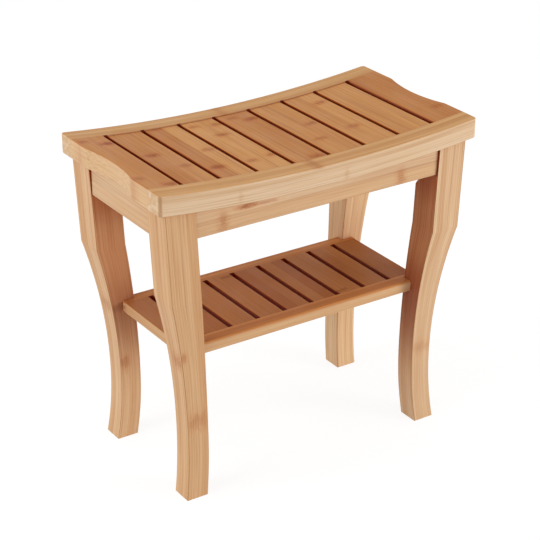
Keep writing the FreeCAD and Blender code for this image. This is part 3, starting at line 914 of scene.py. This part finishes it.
@dataclass
class Seat:
    """The dished seat: two rails, two scooped end slats and the slats between them."""

    slat_strip: float = SEAT_PITCH / 2
    rail_strip: float = 0.0059
    slat_marks: Tuple[JointMark, ...] = (
        JointMark(0.069, -0.2105, strength=0.85),
        JointMark(0.085, -0.237, half_width=0.008, strength=0.45),
        JointMark(-0.092, -0.210, half_width=0.012, strength=0.55),
        JointMark(-0.063, -0.237, half_width=0.008, strength=0.35),
        JointMark(0.0115, -0.1765, strength=0.80),
        JointMark(-0.0385, -0.1560, half_width=0.010, strength=0.45),
        JointMark(0.0985, -0.1210, half_width=0.010, strength=0.35),
        JointMark(-0.0605, -0.1210, strength=0.90),
        JointMark(-0.0005, -0.0980, strength=0.50),
        JointMark(0.0835, -0.0700, half_width=0.009, strength=0.50),
        JointMark(0.0390, -0.0520, strength=0.65),
        JointMark(-0.0615, -0.0690, half_width=0.009, strength=0.55),
        JointMark(0.0770, -0.0380, half_width=0.010, strength=0.50),
        JointMark(-0.0555, -0.0360, half_width=0.009, strength=0.50),
        JointMark(0.0850, -0.0080, half_width=0.010, strength=0.40),
        JointMark(0.0695, 0.0135, strength=0.85),
        JointMark(-0.0910, 0.0120, half_width=0.011, strength=0.60),
        JointMark(0.0080, 0.0700, strength=0.55),
        JointMark(-0.0445, 0.0500, strength=0.45),
        JointMark(-0.0355, 0.1100, strength=0.45),
        JointMark(0.0625, 0.1235, strength=0.60),
        JointMark(-0.0595, 0.2330, half_width=0.009, strength=0.35),
    )
    end_marks: Tuple[JointMark, ...] = (
        JointMark(0.0754, -0.2480, half_width=0.005, half_length=0.008, strength=0.20),
        JointMark(-0.0663, -0.2480, half_width=0.005, half_length=0.010, strength=0.20),
        JointMark(0.0300, 0.2480, half_width=0.005, half_length=0.009, strength=0.20),
    )
    rail_marks: Tuple[JointMark, ...] = (
        JointMark(0.0320, 0.4250, half_width=0.009, half_length=0.0035, strength=0.16),
        JointMark(-0.0107, 0.4440, half_width=0.003, half_length=0.0080, strength=0.30),
        JointMark(0.1514, 0.4490, half_width=0.003, half_length=0.0070, strength=0.30),
        JointMark(-0.1300, 0.4270, half_width=0.008, half_length=0.0040, strength=0.14),
    )

    def dress(self, kit: ShaderKit) -> None:
        """Finishes the seat's pieces.

        Args:
            kit: The shared node groups.
        """
        slats = BambooFinish(
            "seat_slat_bamboo", Grain.ALONG_Y, AMBER, COPPER, RUST, self.slat_strip, ONE_STRIP, seed=1.3,
            dished=True, tone_low=-0.1, tone_high=1.15, edge_lift=0.0, streak_power=0.24, fine_power=0.38,
            marks=self.slat_marks, crevice_span=SLAT_CREVICE, near_power=1.0,
        ).make(kit)
        dress([f"seat_slat_{index + 1}" for index in range(SLAT_COUNT)], slats)
        ends = BambooFinish(
            "seat_end_slat_bamboo", Grain.ALONG_Y, OAT, BISCUIT, RUST, self.slat_strip, ONE_STRIP, seed=1.3,
            dished=True, top_tone_and_shade=SLAT_TOP_TONE_AND_SHADE, edge_lift=0.0, streak_power=0.20, fine_power=0.34,
            marks=self.slat_marks + self.end_marks, crevice_span=SLAT_CREVICE, near_power=0.6,
            inward_shade=1.0,
        ).make(kit)
        dress(["seat_end_slat_left", "seat_end_slat_right"], ends)
        for number, name in enumerate(("front", "rear")):
            rail = BambooFinish(
                f"seat_{name}_rail_bamboo", Grain.FLAT_X, STRAW, HONEY, UMBER,
                self.rail_strip, self.rail_strip, seed=4.1 + 2.3 * number, phase=(0.3, 0.6), dished=True,
                top_tone_and_shade=RAIL_TOP_TONE_AND_SHADE, corner_shade=0.6, inward_shade=0.35, seam_power=0.12, streak_power=0.26,
                fine_power=0.42, edge_lift=0.0, marks=self.rail_marks, crevice_span=RAIL_CREVICE,
                slot_pitch=SEAT_PITCH,
            ).make(kit)
            dress([f"seat_{name}_rail"], rail)


@dataclass(frozen=True)
class LegLook:
    """One leg's colours, joint marks and shade."""

    pale: Colour
    warm: Colour
    marks: Tuple[JointMark, ...]
    shade: LegShade
    # Painted shade on this leg's inward faces, and the height at which it starts
    inward_shade: float = 0.0
    inward_shade_start: float = 0.11


@dataclass
class Legs:
    """The four curved legs, each with its own look, in the order of the corners."""

    strip: float = 0.0074
    # Each leg's pale and warm colours are partly its own tone and partly painted light; the rear right leg's
    # are painted much paler, for light reaching it under the shelf
    looks: Tuple[LegLook, ...] = (
        LegLook(
            srgb(214, 175, 133), srgb(199, 151, 107),
            (
                JointMark(0.114, 0.022, 0.024, 0.0130, 0.33, "Y"),
                JointMark(0.207, 0.030, 0.014, 0.0110, 0.45, "X"),
                JointMark(0.217, 0.040, 0.006, 0.0070, 0.40, "Y"),
            ),
            LegShade(foot_lift=1.0, shelf=0.68), inward_shade=0.93, inward_shade_start=-0.06,
        ),
        LegLook(
            srgb(218, 186, 149), srgb(203, 161, 121),
            (JointMark(0.117, 0.022, 0.024, 0.0095, 0.22, "Y"),),
            LegShade(foot_lift=1.0, shelf=0.70), inward_shade=0.93, inward_shade_start=-0.06,
        ),
        LegLook(
            srgb(217, 180, 140), srgb(202, 156, 113),
            (
                JointMark(0.122, 0.035, 0.012, 0.0105, 0.42, "Y"),
                JointMark(0.212, 0.020, 0.020, 0.0110, 0.30, "X"),
            ),
            LegShade(foot_lift=1.0, shelf=0.45), inward_shade=0.62,
        ),
        LegLook(
            srgb(237, 202, 159), srgb(224, 180, 135),
            (JointMark(0.165, 0.020, 0.018, 0.0070, 0.20, "X"),),
            LegShade(foot_lift=0.15, shelf=0.22, apron=0.0, sliver=0.0),
        ),
    )

    def dress(self, kit: ShaderKit) -> None:
        """Finishes the legs.

        Args:
            kit: The shared node groups.
        """
        for number, (corner, look) in enumerate(zip(CORNERS, self.looks)):
            finish = BambooFinish(
                f"leg_{corner}_bamboo", Grain.ALONG_Z, look.pale, look.warm, UMBER, self.strip, self.strip,
                seed=11.7 + 3.1 * number, phase=(0.2 * number, 0.7), leg=look.shade, inward_shade=look.inward_shade,
                inward_shade_start=look.inward_shade_start, corner_shade=0.75, edge_lift=0.0, streak_power=0.46,
                fine_power=0.46, tone_low=-0.2, tone_high=1.2, seam_power=0.14, marks=look.marks,
            ).make(kit)
            dress([f"leg_{corner}"], finish)


@dataclass
class Aprons:
    """The four boards under the seat."""

    strip: float = 0.0205
    pale: Colour = srgb(224, 197, 164)
    warm: Colour = srgb(207, 167, 126)
    front_marks: Tuple[JointMark, ...] = (
        JointMark(-0.113, 0.4110, half_width=0.004, half_length=0.015, strength=0.75),
        JointMark(-0.085, 0.4095, half_width=0.003, half_length=0.024, strength=0.35),
        JointMark(-0.150, 0.398, half_width=0.013, half_length=0.007, strength=0.38),
        JointMark(0.129, 0.395, half_width=0.012, half_length=0.007, strength=0.40),
    )

    def dress(self, kit: ShaderKit) -> None:
        """Finishes the aprons.

        Args:
            kit: The shared node groups.
        """
        boards = (
            ("front", Grain.FLAT_X), ("rear", Grain.FLAT_X), ("left", Grain.FLAT_Y), ("right", Grain.FLAT_Y),
        )
        for number, (side, grain) in enumerate(boards):
            finish = BambooFinish(
                f"apron_{side}_bamboo", grain, self.pale, self.warm, RUST, self.strip, ONE_STRIP,
                seed=31.2 + 1.9 * number, phase=(0.25, 0.0),
                marks=self.front_marks if side == "front" else (),
            ).make(kit)
            dress([f"apron_{side}"], finish)


@dataclass
class Shelf:
    """The slatted shelf between the legs, and the dowels that hold it."""

    slat_strip: float = SHELF_PITCH / 2
    rail_strip: Tuple[float, float] = (0.0065, 0.0072)
    dowel_strip: float = 0.004

    def dress(self, kit: ShaderKit) -> None:
        """Finishes the shelf.

        Args:
            kit: The shared node groups.
        """
        # The shelf's slats and end slats are darker and redder than the seat's: painted shade for the shelf
        # under the seat
        slats = BambooFinish(
            "shelf_slat_bamboo", Grain.ALONG_Y, srgb(188, 122, 70), srgb(174, 105, 57), RUST,
            self.slat_strip, ONE_STRIP, seed=52.4, joint_share=0.3, edge_lift=0.0, streak_power=0.20,
            crevice_span=SLAT_CREVICE, near_power=1.0,
        ).make(kit)
        dress([f"shelf_slat_{index + 1}" for index in range(SLAT_COUNT)], slats)
        ends = BambooFinish(
            "shelf_end_slat_bamboo", Grain.ALONG_Y, srgb(205, 163, 119), srgb(192, 143, 99), RUST,
            self.slat_strip, ONE_STRIP, seed=52.4, top_tone_and_shade=SHELF_TOP_TONE_AND_SHADE, edge_lift=0.0, streak_power=0.20,
            crevice_span=SLAT_CREVICE, near_power=0.6, inward_shade=1.0,
        ).make(kit)
        dress(["shelf_end_slat_left", "shelf_end_slat_right"], ends)
        rails = BambooFinish(
            "shelf_rail_bamboo", Grain.ALONG_X, srgb(208, 167, 124), srgb(194, 146, 102), UMBER,
            *self.rail_strip, seed=61.5, phase=(0.4, 0.1), top_tone_and_shade=SHELF_RAIL_TOP_TONE_AND_SHADE, inward_shade=0.5,
            slot_pitch=SHELF_PITCH, slot_half=0.0034, crevice_span=RAIL_CREVICE,
        ).make(kit)
        dress(["shelf_front_rail", "shelf_rear_rail"], rails)
        dowels = BambooFinish(
            "dowel_bamboo", Grain.ALONG_X, OAT, BISCUIT, UMBER, self.dowel_strip, self.dowel_strip, seed=70.2,
        ).make(kit)
        dress(["shelf_dowels"], dowels)


@dataclass
class Hardware:
    """The steel brackets and fasteners under the seat."""

    fasteners: Tuple[str, ...] = (
        "hanger_bolts", "bracket_washers", "bracket_nuts", "bracket_screws", "seat_screws",
    )

    def dress(self, kit: ShaderKit) -> None:
        """Finishes the brackets and fasteners.

        Args:
            kit: The shared node groups.
        """
        plate = ZincFinish("bracket_zinc", srgb(208, 210, 212), srgb(160, 163, 166)).make(kit)
        dress([f"corner_bracket_{corner}" for corner in CORNERS], plate)
        dress(self.fasteners, ZincFinish("fastener_zinc", srgb(216, 214, 204), srgb(172, 170, 162)).make(kit))


@dataclass(frozen=True)
class SoftBox:
    """A square studio light."""

    name: str
    place: Tuple[float, float, float]
    size: float
    watts: float


@dataclass
class Studio:
    """Floor, lights, surroundings and camera."""

    target: Vector = field(default_factory=lambda: Vector((0.0, 0.0, 0.24)))
    floor_half: float = 12.0
    floor_pale: Colour = (0.80, 0.80, 0.80, 1.0)
    floor_shadowed: Colour = (0.22, 0.22, 0.22, 1.0)
    floor_glow: float = 0.84
    surroundings: float = 0.66
    camera_place: Tuple[float, float, float] = (-1.1926, -1.8100, 1.2836)
    camera_yaw: float = 0.5820
    camera_pitch: float = 0.4473
    camera_far: float = 50.0
    image_width: float = 540.0
    focal_pixels: float = 1735.1
    sensor_width: float = 36.0
    boxes: Tuple[SoftBox, ...] = (
        SoftBox("left_box", (-2.6, 0.1, 1.4), 1.6, 31.0),
        SoftBox("front_right_box", (2.0, -2.3, 0.6), 1.2, 45.0),
    )

    def build(self) -> None:
        """Makes the whole studio."""
        self._floor()
        self._world()
        for box in self.boxes:
            self._light(box)
        self._camera()
        bpy.context.scene.view_settings.view_transform = "Standard"

    def _floor(self) -> None:
        """Makes the pale floor, which shows white and keeps a soft shadow."""
        mesh = bpy.data.meshes.new("floor")
        half = self.floor_half
        corners = [(-half, -half, 0.0), (half, -half, 0.0), (half, half, 0.0), (-half, half, 0.0)]
        mesh.from_pydata(corners, [], [(0, 1, 2, 3)])
        floor = bpy.data.objects.new("floor", mesh)
        bpy.context.scene.collection.objects.link(floor)
        material = bpy.data.materials.new("white_floor")
        material.use_nodes = True
        nodes = material.node_tree.nodes
        nodes.remove(nodes["Principled BSDF"])
        g = Graph(material.node_tree)
        plain = g.add("ShaderNodeBsdfDiffuse", {"Color": self.floor_pale})
        shadowed = g.add("ShaderNodeBsdfDiffuse", {"Color": self.floor_shadowed})
        glow = g.add("ShaderNodeEmission", {"Strength": self.floor_glow})
        seen = g.add("ShaderNodeAddShader", {0: shadowed.outputs[0], 1: glow.outputs[0]})
        self._show(g, plain.outputs[0], seen.outputs[0], nodes["Material Output"])
        mesh.materials.append(material)

    @staticmethod
    def _show(g: Graph, plain: Socket, seen: Socket, output: Node) -> None:
        """Uses one shader to light the bench, and another for rays that show the background.

        Args:
            g: The graph to add to.
            plain: The shader that lights the bench.
            seen: The shader that is seen.
            output: The output node.
        """
        path = g.add("ShaderNodeLightPath").outputs
        mirrored = g.math("MAXIMUM", path["Is Glossy Ray"], path["Is Transmission Ray"])
        showing = g.math("MAXIMUM", path["Is Camera Ray"], mirrored)
        blend = g.add("ShaderNodeMixShader", {0: showing, 1: plain, 2: seen})
        g.feed(output, {"Surface": blend.outputs[0]})

    def _world(self) -> None:
        """Makes soft surroundings that show as white."""
        world = bpy.data.worlds.new("studio")
        bpy.context.scene.world = world
        world.use_nodes = True
        nodes = world.node_tree.nodes
        g = Graph(world.node_tree)
        g.feed(nodes["Background"], {"Color": WHITE, "Strength": self.surroundings})
        white = g.add("ShaderNodeBackground", {"Color": WHITE, "Strength": 1.0})
        self._show(g, nodes["Background"].outputs[0], white.outputs[0], nodes["World Output"])

    def _light(self, box: SoftBox) -> None:
        """Hangs one soft box.

        Args:
            box: The light's place, size and power.
        """
        data = bpy.data.lights.new(box.name, "AREA")
        data.size = box.size
        data.energy = box.watts
        light = bpy.data.objects.new(box.name, data)
        bpy.context.scene.collection.objects.link(light)
        place = Vector(box.place)
        aim = (self.target - place).to_track_quat("-Z", "Y")
        light.matrix_world = Matrix.Translation(place) @ aim.to_matrix().to_4x4()

    def _camera(self) -> None:
        """Sets the camera where the photograph was taken from."""
        data = bpy.data.cameras.new("camera")
        data.sensor_fit = "HORIZONTAL"
        data.sensor_width = self.sensor_width
        data.lens = self.focal_pixels * self.sensor_width / self.image_width
        data.clip_end = self.camera_far
        camera = bpy.data.objects.new("camera", data)
        bpy.context.scene.collection.objects.link(camera)
        camera.location = self.camera_place
        camera.rotation_euler = (math.pi / 2 - self.camera_pitch, 0.0, -self.camera_yaw)
        bpy.context.scene.camera = camera


def main() -> None:
    """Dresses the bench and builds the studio."""
    logging.basicConfig(level=logging.INFO, format="%(name)s: %(message)s")
    kit = ShaderKit()
    for assembly in (Seat(), Legs(), Aprons(), Shelf(), Hardware()):
        assembly.dress(kit)
        log.info("finished the %s", type(assembly).__name__.lower())
    Studio().build()
    log.info("built the studio")


if __name__ == "__main__":
    main()
